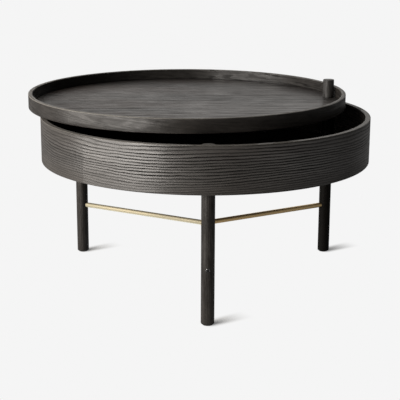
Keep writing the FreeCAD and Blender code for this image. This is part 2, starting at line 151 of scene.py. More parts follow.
# The feet's shadows are painted: masks where the floor shows its shading, greyer than the paper and darker
# in real shadow
SHADE_DEPTH = 0.85
SHADE_WIDTH = (0.003, 0.021)  # half of a foot's shadow, from its dark middle to its edge
SHADE_SPREAD = 0.06  # how much wider it grows per metre
SHADE_START = (-0.012, 0.006)  # from a foot's centre, where its shadow begins
SHADE_FADE = 0.005  # behind a foot, where its shadow begins to fade
WALL_SIDE = (-0.85, 0.75, 0.42)  # towards the pale wall
WALL_EDGE = (-0.25, 0.75)
WALL_LIGHT = 0.85
FILL_SIDE = (0.55, -0.8, 0.0)  # towards the weak fill from the front right
FILL_EDGE = (0.3, 0.9)
FILL_LIGHT = 0.20
ROOM_LIGHT = 0.05
MATT_SHARE = 0.38  # how much of this light reaches what isn't gloss
SENSOR_WIDTH = 36.0  # in millimetres
FAR_CLIP = 200.0


def middle(node):
    """Centre of a node's box."""
    low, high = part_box(node)
    return (low + high) / 2


def half_width(node):
    """Half of a node's size from left to right, which is the radius of a round one."""
    low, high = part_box(node)
    return (high.x - low.x) / 2


def bearing(node):
    """Direction of a node from the drum's axis, as an angle about the vertical."""
    place = middle(node)
    return math.atan2(place.y, place.x)


def radial_reach(node):
    """Least and greatest distance of a front node from the drum's axis."""
    low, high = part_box(node)
    return -high.y, -low.y


class FastenerSizes(bpy.types.PropertyGroup):
    """Sizes of the screws and foot pads that aren't plain from the table's frame."""

    rod_head_height: FloatProperty(
        name="Rod screw head", description="Height of the socket screw's head",
        default=0.004, unit="LENGTH")
    rod_head_round: FloatProperty(
        name="Rod head rounding", description="Rounding of the socket screw's head",
        default=0.0009, unit="LENGTH")
    rod_tip_round: FloatProperty(
        name="Rod screw tip", description="Bevel at the socket screw's tip",
        default=0.0004, unit="LENGTH")
    socket_flats: FloatProperty(
        name="Socket flats", description="Width of the hexagon socket across its flats",
        default=0.004, unit="LENGTH")
    socket_depth: FloatProperty(
        name="Socket depth", description="Depth of the hexagon socket",
        default=0.0034, unit="LENGTH")
    leg_head_height: FloatProperty(
        name="Leg screw head", description="Height of the pan head",
        default=0.003, unit="LENGTH")
    leg_head_round: FloatProperty(
        name="Leg head rounding", description="Rounding of the pan head",
        default=0.0015, unit="LENGTH")
    leg_tip_round: FloatProperty(
        name="Leg screw tip", description="Bevel at the leg screw's tip",
        default=0.0012, unit="LENGTH")
    cross_span: FloatProperty(
        name="Cross span", description="Length of each arm pair of the cross recess",
        default=0.0046, unit="LENGTH")
    cross_width: FloatProperty(
        name="Cross width", description="Width of the cross recess's arms",
        default=0.0011, unit="LENGTH")
    cross_depth: FloatProperty(
        name="Cross depth", description="Depth of the cross recess",
        default=0.0016, unit="LENGTH")
    shank: FloatProperty(
        name="Shank", description="Diameter of the screws' shanks",
        default=0.004, unit="LENGTH")
    pad_round: FloatProperty(
        name="Pad rounding", description="Rounding of the felt pads' edges",
        default=0.0005, unit="LENGTH")


class Finishes(bpy.types.PropertyGroup):
    """Colours and grain of the table's materials."""

    stain_light: FloatVectorProperty(
        name="Late wood", description="Stained dense wood between the lines",
        default=(0.054, 0.048, 0.043), subtype="COLOR")
    stain_dark: FloatVectorProperty(
        name="Dark wood", description="Stained wood where it took more stain",
        default=(0.017, 0.015, 0.0135), subtype="COLOR")
    stain_brown: FloatVectorProperty(
        name="Brown wood", description="Wood that shows brown through the stain",
        default=(0.080, 0.054, 0.043), subtype="COLOR")
    line_stain: FloatVectorProperty(
        name="Early wood", description="Open-pored lines of each year's growth",
        default=(0.004, 0.0035, 0.003), subtype="COLOR")
    # A colour lighter than wear alone would give: it is also a painted highlight on the top edges.
    rubbed_and_lit: FloatVectorProperty(
        name="Rubbed edge", description="Wood where hands have rubbed the edges",
        default=(0.19, 0.176, 0.158), subtype="COLOR")
    brass: FloatVectorProperty(
        name="Brass", description="Clean drawn brass",
        default=(0.82, 0.60, 0.30), subtype="COLOR")
    brass_tarnish: FloatVectorProperty(
        name="Tarnished brass", description="Brass that has dulled",
        default=(0.36, 0.325, 0.235), subtype="COLOR")
    # a painted reflection: the pale floor as the rods' undersides would mirror it
    floor_reflection_brass: FloatVectorProperty(
        name="Pale brass", description="Brass that has dulled to a pale straw",
        default=(0.75, 0.705, 0.53), subtype="COLOR")
    screw_steel: FloatVectorProperty(
        name="Screw steel", description="Dark plating on the screws",
        default=(0.06, 0.06, 0.06), subtype="COLOR")
    spindle_steel: FloatVectorProperty(
        name="Spindle steel", description="Bright steel of the stud",
        default=(0.55, 0.55, 0.56), subtype="COLOR")
    nylon: FloatVectorProperty(
        name="Nylon", description="Black nylon of bush and washers",
        default=(0.020, 0.020, 0.021), subtype="COLOR")
    felt: FloatVectorProperty(
        name="Felt", description="Felt under the feet",
        default=(0.018, 0.018, 0.018), subtype="COLOR")
    drum_ring: FloatProperty(
        name="Drum ring", description="Spacing of the growth rings at the drum's top edge",
        default=0.0066, unit="LENGTH")
    rim_ring: FloatProperty(
        name="Rim ring", description="Spacing of the growth rings down the tray's rim",
        default=0.016, unit="LENGTH")
    rim_inward_ring: FloatProperty(
        name="Rim inward ring", description="Spacing of the growth rings through the rim's thickness",
        default=0.012, unit="LENGTH")
    floor_ring: FloatProperty(
        name="Tray ring", description="Spacing of the growth rings on the tray's floor",
        default=0.017, unit="LENGTH")
    leg_ring: FloatProperty(
        name="Leg ring", description="Spacing of the growth rings in legs and knob",
        default=0.0034, unit="LENGTH")
    drum_joint: FloatProperty(
        name="Drum joint", description="Where the bent wall's ends meet",
        default=math.radians(-133.4), unit="ROTATION")
    rim_joint: FloatProperty(
        name="Rim joint", description="Where the bent rim's ends meet",
        default=math.radians(-98), unit="ROTATION")


class Studio(bpy.types.PropertyGroup):
    """The floor, the lamp and the camera."""

    paper: FloatVectorProperty(
        name="Paper", description="Floor and background",
        default=(0.913, 0.913, 0.913), subtype="COLOR")
    room: FloatVectorProperty(
        name="Room", description="Colour of the room's light",
        default=(0.913, 0.893, 0.868), subtype="COLOR")
    key_power: FloatProperty(
        name="Key power", description="Power of the large soft lamp",
        default=64.5, unit="POWER")
    key_size: FloatVectorProperty(
        name="Key size", description="Width and height of the large soft lamp",
        size=2, default=(2.04, 1.2), unit="LENGTH")
    key_colour: FloatVectorProperty(
        name="Key colour", description="Colour of the large soft lamp",
        default=(1.0, 0.955, 0.90), subtype="COLOR")
    key_bearing: FloatProperty(
        name="Key bearing", description="How far left of the camera the lamp stands",
        default=math.radians(57.9), unit="ROTATION")
    key_distance: FloatProperty(
        name="Key distance", description="From the lamp to the drum's axis",
        default=1.7, unit="LENGTH")
    # the painted pool of light that gloss sees on the floor
    pool_place: FloatVectorProperty(
        name="Pool place", description="Middle of the lamp's pool on the floor",
        size=2, default=(-0.25, 0.25), unit="LENGTH")
    pool_edge: FloatVectorProperty(
        name="Pool edge", description="How far from its middle the pool begins to fade, and where it ends",
        size=2, default=(0.30, 0.48), unit="LENGTH")
    foot_shade: FloatProperty(
        name="Foot shade", description="How far from a foot its shadow shows",
        default=0.10, unit="LENGTH")
    shade_bearing: FloatProperty(
        name="Shade bearing", description="Which way the feet's shadows fall, from the right to the back",
        default=math.radians(35), unit="ROTATION")
    camera_place: FloatVectorProperty(
        name="Camera place", description="Where the camera stands",
        default=(-0.04157, -2.21635, 0.72247), subtype="TRANSLATION")
    camera_pan: FloatProperty(
        name="Pan", description="Turn of the camera to the left",
        default=math.radians(-0.814), unit="ROTATION")
    camera_pitch: FloatProperty(
        name="Pitch", description="How far the camera looks down",
        default=math.radians(14.41), unit="ROTATION")
    camera_roll: FloatProperty(
        name="Roll", description="Roll of the camera",
        default=math.radians(0.23), unit="ROTATION")
    lens: FloatProperty(
        name="Lens", description="Focal length in millimetres, on a sensor 36 mm wide",
        default=101.67)


class Reading:
    """A value in a node tree; a sum or product of readings adds its Math nodes."""

    def __init__(self, nodes, socket):
        self.nodes = nodes
        self.socket = socket

    def maths(self, operation, *others):
        """Any Math node, with this value first."""
        sockets = dict(enumerate((self, *others)))
        return self.nodes.add("ShaderNodeMath", {"operation": operation}, sockets)

    def __add__(self, other):
        return self.maths("ADD", other)

    def __radd__(self, other):
        return self.maths("ADD", other)

    def __sub__(self, other):
        return self.maths("SUBTRACT", other)

    def __rsub__(self, other):
        return self * -1.0 + other

    def __mul__(self, other):
        return self.maths("MULTIPLY", other)

    def __rmul__(self, other):
        return self.maths("MULTIPLY", other)

    def __truediv__(self, other):
        return self.maths("DIVIDE", other)

    def fade(self, low, high):
        """0 below low, 1 above high, smooth between."""
        sockets = {"Value": self, "From Min": low, "From Max": high}
        return self.nodes.add("ShaderNodeMapRange", {"interpolation_type": "SMOOTHSTEP"}, sockets)

    def between(self, start, end):
        """1 from a start to an end, each a pair of values that it fades over."""
        return self.fade(*start) * (1 - self.fade(*end))

    def steps(self, level, changes):
        """A level that changes along this value: each change has its start, its end and its amount."""
        for start, end, amount in changes:
            level = level + self.fade(start, end) * amount
        return level

    def swing(self, amount):
        """How far a noise stands off its middle of one half, times an amount."""
        return (self - 0.5) * amount


class Nodes:
    """The node tree of one material or of the world."""

    def __init__(self, owner):
        owner.use_nodes = True
        self.tree = owner.node_tree
        self.tree.nodes.clear()

    def add(self, kind, settings=None, sockets=None, output=0):
        """A node of any kind: its settings first, then the values or links of its sockets."""
        node = self.tree.nodes.new(kind)
        for name, value in (settings or {}).items():
            setattr(node, name, value)
        for name, value in (sockets or {}).items():
            if isinstance(value, Reading):
                self.tree.links.new(value.socket, node.inputs[name])
            else:
                node.inputs[name].default_value = value
        return Reading(self, node.outputs[output]) if node.outputs else None

    def axes(self, vector):
        """The three parts of a vector."""
        first = self.add("ShaderNodeSeparateXYZ", None, {"Vector": vector})
        return [Reading(self, socket) for socket in first.socket.node.outputs]

    def place(self, centre=(0, 0, 0), turn=0.0):
        """Object coordinates as seen from a centre, turned about the vertical."""
        where = self.add("ShaderNodeTexCoord", output="Object")
        sockets = {"Vector": where, "Location": centre, "Rotation": (0, 0, turn)}
        return self.axes(self.add("ShaderNodeMapping", {"vector_type": "TEXTURE"}, sockets))

    def noise(self, point, scale, start=(0, 0, 0), detail=2.0, roughness=0.5):
        """Noise at a point whose parts are each scaled, and then moved on where they have a start."""
        parts = [part * size for part, size in zip(point, scale)]
        moved = [part + first if first else part for part, first in zip(parts, start)]
        where = self.add("ShaderNodeCombineXYZ", None, dict(zip("XYZ", moved)))
        sockets = {"Vector": where, "Scale": 1.0, "Detail": detail, "Roughness": roughness}
        return self.add("ShaderNodeTexNoise", None, sockets)

    def even_noise(self, point, scale, **kind):
        """Noise with the same scale every way."""
        return self.noise(point, (scale, scale, scale), **kind)

    def blend(self, share, first, second):
        """A colour between two colours."""
        sockets = {MIX_SHARE: share, MIX_FIRST: rgba(first), MIX_SECOND: rgba(second)}
        return self.add("ShaderNodeMix", {"data_type": "RGBA"}, sockets, output=MIX_COLOUR)

    def bump(self, height, depth):
        """A normal that follows a height of 0 to 1 times depth."""
        return self.add("ShaderNodeBump", None, {"Strength": 1.0, "Distance": depth, "Height": height})

    def towards(self, direction, side):
        """How far a direction points to a side."""
        sockets = {0: direction, 1: side}
        return self.add("ShaderNodeVectorMath", {"operation": "DOT_PRODUCT"}, sockets, output="Value")

    def rays(self):
        """Whether a ray comes from the camera, from a gloss or through glass."""
        kinds = ("Camera", "Glossy", "Transmission")
        path = self.add("ShaderNodeLightPath").socket.node
        return [Reading(self, path.outputs[f"Is {kind} Ray"]) for kind in kinds]

    def surface(self, **sockets):
        """The shader and the output, with socket names written with _ for spaces."""
        named = {name.replace("_", " "): value for name, value in sockets.items()}
        shader = self.add("ShaderNodeBsdfPrincipled", None, named)
        self.add("ShaderNodeOutputMaterial", None, {"Surface": shader})


def rgba(colour):
    """A plain colour with its alpha; a reading stays as it is."""
    if isinstance(colour, Reading):
        return colour
    return (*colour[:3], 1.0)


def toned(colour, times):
    """A colour made darker or lighter."""
    return [part * times for part in colour]


def new_finish(name):
    """A material and its node tree."""
    material = bpy.data.materials.new(name)
    return material, Nodes(material)


def dress(node, material):
    """Gives a node of the frame its finish."""
    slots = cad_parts[node].material_slots
    if not slots:
        raise RuntimeError(f"{node} has no material slot")
    for slot in slots:
        slot.material = material


def rubbed_and_lit_edge(drop):
    """1 at a piece's top edge, 0 just below it: the band that wear and a painted highlight make lighter."""
    return 1 - drop.fade(*RUBBED_AND_LIT_BAND)


def black_ash(looks, nodes, point, rings, grain=(1, 1, 1), contrast=1.0, gloss=1.0, stain_and_shade=0.0, patchy=1.0,
              worn_and_lit=0.0, brown=0.0, polish=LACQUER_ROUGHNESS, specular=WOOD_SPECULAR, ragged=0.5):
    """Black stained, brushed ash.

    The point's parts run along the grain, across it and in depth, and grain makes each finer or coarser.
    rings counts the years, contrast is the strength of their lines, and ragged breaks the lines up.
    gloss is the amount of lacquer, patchy its unevenness and polish its roughness. stain_and_shade,
    worn_and_lit and brown are shares of black staining with painted shade, of wear with a painted edge
    highlight and of brown wood, and specular is the bare wood's own shine.
    """

    def drawn_out(lengthwise, crosswise, **kind):
        """Noise that is long with the grain."""
        scale = (lengthwise * grain[0], crosswise * grain[1], crosswise * grain[2])
        return nodes.noise(point, scale, **kind)

    streak = drawn_out(lengthwise=11, crosswise=330, detail=4, roughness=0.62)
    fibre = drawn_out(lengthwise=34, crosswise=2000)
    cloud = drawn_out(lengthwise=3.1, crosswise=17, detail=3)
    count = rings + streak.swing(ragged)
    year = count.maths("FLOOR")
    luck = nodes.noise((year, point[0], 4.0), scale=(0.73, 2.2 * grain[0], 1))
    strength = luck.fade(*YEAR_STRENGTH)
    phase = count.maths("FRACT")
    early = (1 - phase.fade(*EARLY_WOOD)) * (0.60 + 0.40 * strength) * contrast
    pores = fibre.fade(*PORES) * (0.30 + 0.70 * early)
    tone = 0.52 + cloud.swing(1.4) + streak.swing(1.3)
    stained = nodes.blend(tone, looks.stain_dark, looks.stain_light)
    wood = nodes.blend(brown, stained, looks.stain_brown)
    lined = nodes.blend(stain_and_shade + early * (0.92 - stain_and_shade), wood, looks.line_stain)
    pored = nodes.blend(pores * 0.45, lined, looks.line_stain)
    colour = nodes.blend(worn_and_lit * (0.35 + fibre * 0.5), pored, looks.rubbed_and_lit)
    lacquer = 0.62 + (streak.swing(1.1) + cloud.swing(0.5)) * patchy
    coat = lacquer * (1 - early) * (1 - pores * 0.30) * gloss
    height = 0.55 + streak.swing(0.5) - early * 0.45 - pores * 0.30
    nodes.surface(
        Base_Color=colour, Roughness=0.46 + early * 0.34 + streak.swing(0.12), Specular_IOR_Level=specular,
        Coat_Weight=coat.maths("MAXIMUM", 0.0), Coat_Roughness=polish, Coat_IOR=LACQUER_IOR,
        Normal=nodes.bump(height, GRAIN_RELIEF))


def unrolled(nodes, node, joint, scarf=0.0):
    """Length along a bent ring from its glued joint, height below its top edge, radius, and x and y."""
    centre = middle(node)
    centre.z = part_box(node)[1].z
    radius = half_width(node)
    length = 2 * math.pi * radius
    x, y, z = nodes.place(centre, joint)
    arc = y.maths("ARCTAN2", x) * radius
    along = ((arc + z * scarf) / length).maths("FRACT") * length
    reach = (x * x + y * y).maths("SQRT")
    return along, z * -1.0, reach, (x, y)


def drum_wall_finish(looks):
    """Rift-cut ash bent to a ring, with a glued joint at its front left.

    Its growth lines are near level, closer together towards the bottom, and calmer at top and bottom.
    """
    material, nodes = new_finish("black_ash_drum_wall")
    along, drop, reach, (x, y) = unrolled(nodes, "drum_wall", looks.drum_joint)
    sway = nodes.noise((x, y, drop), scale=(1.9, 1.9, 5), detail=1)
    ripple = nodes.noise((x, y, drop), scale=(7, 7, 30), start=(0, 0, 7), detail=3)
    wave = nodes.noise((x, y, drop), scale=(42, 42, 90), start=(0, 0, 3), detail=1)
    slip = along.steps(**DRUM_SLIP) * drop.fade(*DRUM_SLIP_DROP)
    level = drop + sway.swing(0.034) + ripple.swing(0.012) + wave.swing(0.0013) + slip
    rings = level / looks.drum_ring + level * level * DRUM_CLOSING
    calm = drop.steps(**DRUM_CALM)
    lines = along.steps(**DRUM_LINES) * (1 - calm)
    dull = along.steps(**DRUM_DULL) * drop.fade(*DRUM_DULL_DROP)
    sheen = along.steps(**DRUM_SHEEN) * (1 - calm * 0.5 - dull)
    gloss = drop.steps(**DRUM_LACQUER) * sheen
    # the top edge, lighter from wear and a painted highlight
    worn_and_lit = rubbed_and_lit_edge(drop) * RUBBING_AND_EDGE_LIGHT
    black_ash(looks, nodes, (along, drop, reach), rings, contrast=lines, gloss=gloss, worn_and_lit=worn_and_lit, ragged=0.3)
    return material


def tray_rim_finish(looks):
    """Flat-cut ash bent to a ring: a mottled figure, and a top edge lightened by wear and a painted
    highlight, most at the front left.

    Its inside has painted shade: almost black at the back left, and darker in the corner above the tray's
    floor. Inside, from the front round to the right, it is painted lighter, as light falling on it, and the
    lower half of its outer face is painted lighter at the front left, as a highlight.
    """
    material, nodes = new_finish("black_ash_tray_rim")
    along, drop, reach, (x, y) = unrolled(nodes, "tray_rim", looks.rim_joint, RIM_SCARF)
    strip = along + drop * RIM_SCARF
    side = y.maths("ARCTAN2", x)
    inside = (half_width("tray_rim") - reach).fade(*RIM_INSIDE)
    figure = nodes.noise((along, drop, reach), scale=(5.5, 22, 22))
    upright = drop / looks.rim_ring + reach / looks.rim_inward_ring
    rings = figure * RIM_FIGURE + upright + inside * drop * RIM_INSIDE_RINGS
    dark = strip.between(*RIM_BACK_LEFT_SHADE)
    corner_shade = drop.fade(*RIM_CORNER_SHADE)
    pale = 1 - strip.fade(*RIM_PALE_END)
    lower = drop.fade(*RIM_LOWER) * side.between(*RIM_LIT) * (1 - inside)
    # painted light and shade: lighter on the lower half outside and inside towards the right, darker inside
    # at the back left and in the corner above the floor
    stain_and_shade = 0.45 - lower * 0.40 + inside * (dark * 0.5 + corner_shade * 0.45 - pale * 0.35)
    inner_sheen = 0.85 + strip.fade(*RIM_GLOSSY) * 0.15 - dark * 1.25 - corner_shade * 0.8
    sheen = side.steps(**RIM_SHEEN) + lower * 1.5 + inside * inner_sheen
    gloss = drop.steps(**RIM_LACQUER) * sheen
    # the top edge, lighter from wear and a painted highlight, most at the left and front left
    worn_and_lit = rubbed_and_lit_edge(drop) * side.steps(**RIM_RUBBING_AND_EDGE_LIGHT)
    black_ash(
        looks, nodes, (strip, drop, reach), rings, grain=(4, 0.4, 0.4), contrast=0.38 + inside * 0.35,
        gloss=gloss, stain_and_shade=stain_and_shade, patchy=0.95, worn_and_lit=worn_and_lit, specular=0.10)
    return material


def tray_floor_finish(looks):
    """A flat panel with its grain from left to right, in long soft streaks and with brown patches."""
    material, nodes = new_finish("black_ash_tray_floor")
    x, y, z = nodes.place(middle("tray_floor"))
    sway = nodes.noise((x, y, 3.0), scale=(1.3, 6, 1))
    ripple = nodes.noise((x, y, 8.0), scale=(5, 28, 1), detail=3)
    rings = (y + sway.swing(0.06) + ripple.swing(0.016)) / looks.floor_ring
    patches = nodes.noise((x, y, 5.0), scale=(3, 11, 1)).fade(*BROWN_PATCH)
    brown = patches * (0.45 - 0.30 * x.fade(*FLOOR_BROWN))
    gloss = 0.42 + y.fade(*FLOOR_GLOSS) * 0.06
    black_ash(
        looks, nodes, (x, y, z), rings, grain=(2.0, 0.26, 1), contrast=0.55, gloss=gloss, patchy=3.0,
        brown=brown)
    return material


def drum_bottom_finish(looks):
    """A flat panel with straight grain."""
    material, nodes = new_finish("black_ash_drum_bottom")
    x, y, z = nodes.place(middle("drum_bottom"))
    board = 3.7  # a length of wood of its own, away from the one in the tray's floor
    sway = nodes.noise((x, y, 9.0), scale=(2, 6, 1), detail=1)
    rings = (y + sway.swing(0.04)) / looks.floor_ring
    black_ash(looks, nodes, (x + board, y, z), rings, grain=(1, 0.4, 1), contrast=0.5, gloss=0.5)
    return material


def turned_finish(looks, node, turn, start, gloss, stain_and_shade, darker=0.0, contrast=0.5,
                  polish=LACQUER_ROUGHNESS, rubbing_and_edge_light=RUBBING_AND_EDGE_LIGHT):
    """A turned piece, its grain upright and its rings cut through by the round.

    start is the place in its board, and darker the painted shade on its right side, away from the light.
    """
    material, nodes = new_finish("black_ash_" + node)
    x, y, z = nodes.place(middle(node), turn)
    sway = nodes.noise((z, x, y), scale=(3, 9, 9), start=(start, 0, 0), detail=1)
    rings = (x + sway.swing(0.02)) / looks.leg_ring
    low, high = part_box(node)
    drop = (high.z - low.z) / 2 - z
    # painted shade on the right side, away from the light
    right = (x * math.cos(turn) - y * math.sin(turn)).fade(*LEG_RIGHT) * darker
    black_ash(
        looks, nodes, (z + start, x, y), rings, grain=(4, 0.7, 0.7), contrast=contrast,
        gloss=gloss * (1 - right), stain_and_shade=right + stain_and_shade, patchy=2.5, worn_and_lit=rubbed_and_lit_edge(drop) * rubbing_and_edge_light,
        polish=polish, specular=WOOD_SPECULAR * (1 - 0.8 * stain_and_shade - 0.5 * darker))
    return material


def brass_finish(looks, node, turn, drawn, dull=0.4, pale=0.0):
    """Drawn brass with fine lines, some tarnish and an underside painted paler as a reflection of the pale
    floor; drawn is the scale of the lines.
    """
    material, nodes = new_finish("brass_" + node)
    x, y, z = nodes.place(middle(node), turn)
    lines = nodes.noise((x, y, z), scale=drawn, detail=3)
    tarnish = dull + nodes.noise((x, y, z), scale=(13, 60, 60), detail=3).swing(0.5)
    dulled = nodes.blend(tarnish, looks.brass, looks.brass_tarnish)
    below = 1 - z.fade(*ROD_UNDERSIDE)
    colour = nodes.blend(below * pale, dulled, looks.floor_reflection_brass)
    nodes.surface(
        Base_Color=colour, Metallic=1.0, Roughness=0.41 + lines.swing(0.12) + tarnish * 0.27,
        Normal=nodes.bump(lines, depth=0.000004))
    return material


def steel_finish(name, colour, roughness):
    """Plated or bright steel with handling marks."""
    material, nodes = new_finish(name)
    place = nodes.place()
    marks = nodes.even_noise(place, scale=900, detail=3)
    dull = nodes.even_noise(place, scale=260).fade(*STEEL_DULL)
    nodes.surface(
        Base_Color=nodes.blend(dull * 0.5, colour, toned(colour, 0.55)), Metallic=1.0,
        Roughness=roughness + marks.swing(0.2), Normal=nodes.bump(marks, depth=0.000015))
    return material


def rod_screw_finish(looks, node, radius):
    """Dark plating, rubbed bright at the rim of the head."""
    material, nodes = new_finish("screw_steel_" + node)
    x, y, z = nodes.place(middle(node), bearing(node))
    marks = nodes.even_noise((x, y, z), scale=900, detail=3)
    inner, outer = [share * radius for share in HEAD_RIM]
    rim = (y * y + z * z).maths("SQRT").fade(inner, outer)
    nodes.surface(
        Base_Color=nodes.blend(rim * 0.55, looks.screw_steel, looks.spindle_steel), Metallic=1.0,
        Roughness=0.16 + marks.swing(0.12), Normal=nodes.bump(marks, depth=0.000008))
    return material


def nylon_finish(looks):
    """Moulded black nylon with a fine eggshell surface."""
    material, nodes = new_finish("black_nylon")
    place = nodes.place()
    grain = nodes.even_noise(place, scale=2200)
    cloud = nodes.even_noise(place, scale=240)
    nodes.surface(
        Base_Color=nodes.blend(cloud, looks.nylon, toned(looks.nylon, 1.7)),
        Roughness=0.42 + grain.swing(0.2), Normal=nodes.bump(grain, depth=0.00002))
    return material


def felt_finish(looks):
    """Pressed felt: short fibres every way, with a soft sheen."""
    material, nodes = new_finish("black_felt")
    place = nodes.place()
    fibres = nodes.noise(place, scale=(3200, 3200, 2400), detail=4, roughness=0.7)
    lumps = nodes.even_noise(place, scale=420)
    colour = nodes.blend(fibres * 0.8 + lumps * 0.3 - 0.1, looks.felt, toned(looks.felt, 3))
    nodes.surface(
        Base_Color=colour, Roughness=0.95, Sheen_Weight=0.35,
        Normal=nodes.bump(fibres + lumps, depth=0.00012))
    return material


def add_bar(name, sides, radius, length):
    """A round or many-sided bar whose top face lies at the origin, pointing up."""
    bpy.ops.object.select_all(action="DESELECT")
    bpy.ops.mesh.primitive_cylinder_add(
        vertices=sides, radius=radius, depth=length, location=(0, 0, -length / 2))
    piece = bpy.context.active_object
    piece.name = name
    piece.data.name = name
    bpy.ops.object.transform_apply(location=True, rotation=True, scale=True)
    return piece


def pick_faces(piece, test):
    """Selects, in edit mode, the faces whose centre and normal pass the test."""
    bpy.ops.mesh.select_mode(type="FACE")
    bpy.ops.mesh.select_all(action="DESELECT")
    mesh = bmesh.from_edit_mesh(piece.data)
    for face in mesh.faces:
        face.select_set(test(face.calc_center_median(), face.normal))
    bmesh.update_edit_mesh(piece.data)


def pick_edges(piece, test):
    """Selects, in edit mode, the edges whose two ends pass the test."""
    bpy.ops.mesh.select_mode(type="EDGE")
    bpy.ops.mesh.select_all(action="DESELECT")
    mesh = bmesh.from_edit_mesh(piece.data)
    for edge in mesh.edges:
        edge.select_set(all(test(end.co) for end in edge.verts))
    bmesh.update_edit_mesh(piece.data)


def round_top(piece, size, segments):
    """Rounds, in edit mode, the edges of the top face."""
    pick_edges(piece, lambda end: end.z > -TINY)
    bpy.ops.mesh.bevel(offset=size, segments=segments, affect="EDGES")


def round_bottom(piece, size, segments):
    """Rounds, in edit mode, the edges of the lowest face."""
    lowest = min(vertex.co.z for vertex in bmesh.from_edit_mesh(piece.data).verts)
    pick_edges(piece, lambda end: end.z < lowest + TINY)
    bpy.ops.mesh.bevel(offset=size, segments=segments, affect="EDGES")


def model_screw(name, head_radius, head_height, shank_radius, length, tip_round, head_round, head_segments):
    """A screw that points up, with its shank drawn out of the underside of its head."""
    screw = add_bar(name, SCREW_SIDES, head_radius, head_height)
    bpy.ops.object.mode_set(mode="EDIT")
    pick_faces(screw, lambda place, normal: normal.z < -FLAT)
    bpy.ops.mesh.inset(thickness=head_radius - shank_radius, depth=0)
    bpy.ops.mesh.extrude_region_move(TRANSFORM_OT_translate={"value": (0, 0, head_height - length)})
    round_bottom(screw, tip_round, segments=2)
    round_top(screw, head_round, head_segments)
    bpy.ops.object.mode_set(mode="OBJECT")
    return screw


def make_active(piece):
    """Selects one piece alone, for the operators that act on the active object."""
    bpy.ops.object.select_all(action="DESELECT")
    piece.select_set(True)
    bpy.context.view_layer.objects.active = piece


def carve(piece, cutter):
    """Cuts one piece out of another."""
    cut = piece.modifiers.new("recess", "BOOLEAN")
    cut.operation = "DIFFERENCE"
    cut.solver = "EXACT"
    cut.object = cutter
    make_active(piece)
    bpy.ops.object.modifier_apply(modifier=cut.name)
    bpy.data.meshes.remove(cutter.data)


def smooth(piece, angle):
    """Smooth faces, with edges sharper than the angle left crisp."""
    make_active(piece)
    bpy.ops.object.shade_smooth_by_angle(angle=angle)


def set_down(pattern, name, place, material, node):
    """A copy of a pattern, with its own mesh, put in its place to stand for a node."""
    piece = pattern.copy()
    piece.data = pattern.data.copy()
    piece.name = name
    piece.data.name = name
    piece.data.transform(place)
    piece.data.materials.clear()
    piece.data.materials.append(material)
    bpy.context.scene.collection.objects.link(piece)
    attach(piece, "base")
    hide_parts(node)
    return piece


def put_away(pattern):
    """Removes a pattern once its copies are made."""
    bpy.data.meshes.remove(pattern.data)


def driven(node, outward, distance):
    """Turns a screw that points up to its node's radius, with its head at a distance from the axis."""
    tilt = math.radians(90 if outward else -90)
    return (
        Matrix.Translation((0, 0, middle(node).z))
        @ Matrix.Rotation(bearing(node), 4, "Z")
        @ Matrix.Rotation(tilt, 4, "Y")
        @ Matrix.Translation((0, 0, distance if outward else -distance)))


class TABLE_OT_drum(bpy.types.Operator):
    """Stains the drum's bent wall and its bottom panel"""

    bl_idname = "table.drum"
    bl_label = "Finish drum"

    def execute(self, context):
        looks = context.scene.table_finishes
        dress("drum_wall", drum_wall_finish(looks))
        dress("drum_bottom", drum_bottom_finish(looks))
        return {"FINISHED"}


class TABLE_OT_tray(bpy.types.Operator):
    """Stains the tray's bent rim and its floor"""

    bl_idname = "table.tray"
    bl_label = "Finish tray"

    def execute(self, context):
        looks = context.scene.table_finishes
        dress("tray_rim", tray_rim_finish(looks))
        dress("tray_floor", tray_floor_finish(looks))
        return {"FINISHED"}


class TABLE_OT_legs(bpy.types.Operator):
    """Stains the three turned legs and the knob, each cut from its own stock, with painted shade on the
    legs away from the light
    """

    bl_idname = "table.legs"
    bl_label = "Finish legs and knob"

    def execute(self, context):
        looks = context.scene.table_finishes
        # how darkly each piece is stained is partly painted shade: the pivot leg, furthest from the light,
        # is the darkest
        stock = {
            "front_leg": {"turn": 0.7, "start": 5.0, "gloss": 0.24, "stain_and_shade": 0.42},
            "left_leg": {"turn": 2.6, "start": 7.3, "gloss": 0.18, "stain_and_shade": 0.20, "darker": 0.65},
            "pivot_leg": {"turn": 4.5, "start": 9.6, "gloss": 0.0, "stain_and_shade": 0.85},
            "knob": {
                "turn": 0.4, "start": 1.1, "gloss": 0.85, "stain_and_shade": 0.6, "contrast": 0.15, "polish": 0.6,
                "rubbing_and_edge_light": 0.1},
        }
        for node, cut in stock.items():
            dress(node, turned_finish(looks, node, **cut))
        return {"FINISHED"}


class TABLE_OT_brass(bpy.types.Operator):
    """Polishes the brass rods, the hub where they meet and the threaded inserts"""

    bl_idname = "table.brass"
    bl_label = "Finish brass"

    def execute(self, context):
        looks = context.scene.table_finishes
        along_rod = (7, 1900, 1900)
        round_axis = (1500, 1500, 30)
        # pale is how much of each rod's underside is painted as a reflection of the pale floor
        age = {
            "front_rod": {"dull": 0.4, "pale": 0.3},
            "left_rod": {"dull": 1.0, "pale": 0.9},
            "pivot_rod": {"dull": 0.1, "pale": 0.0},
        }
        for node, wear in age.items():
            dress(node, brass_finish(looks, node, turn=bearing(node), drawn=along_rod, **wear))
        for node in ("rod_hub", "leg_insert", "knob_insert"):
            dress(node, brass_finish(looks, node, turn=0.0, drawn=round_axis))
        return {"FINISHED"}


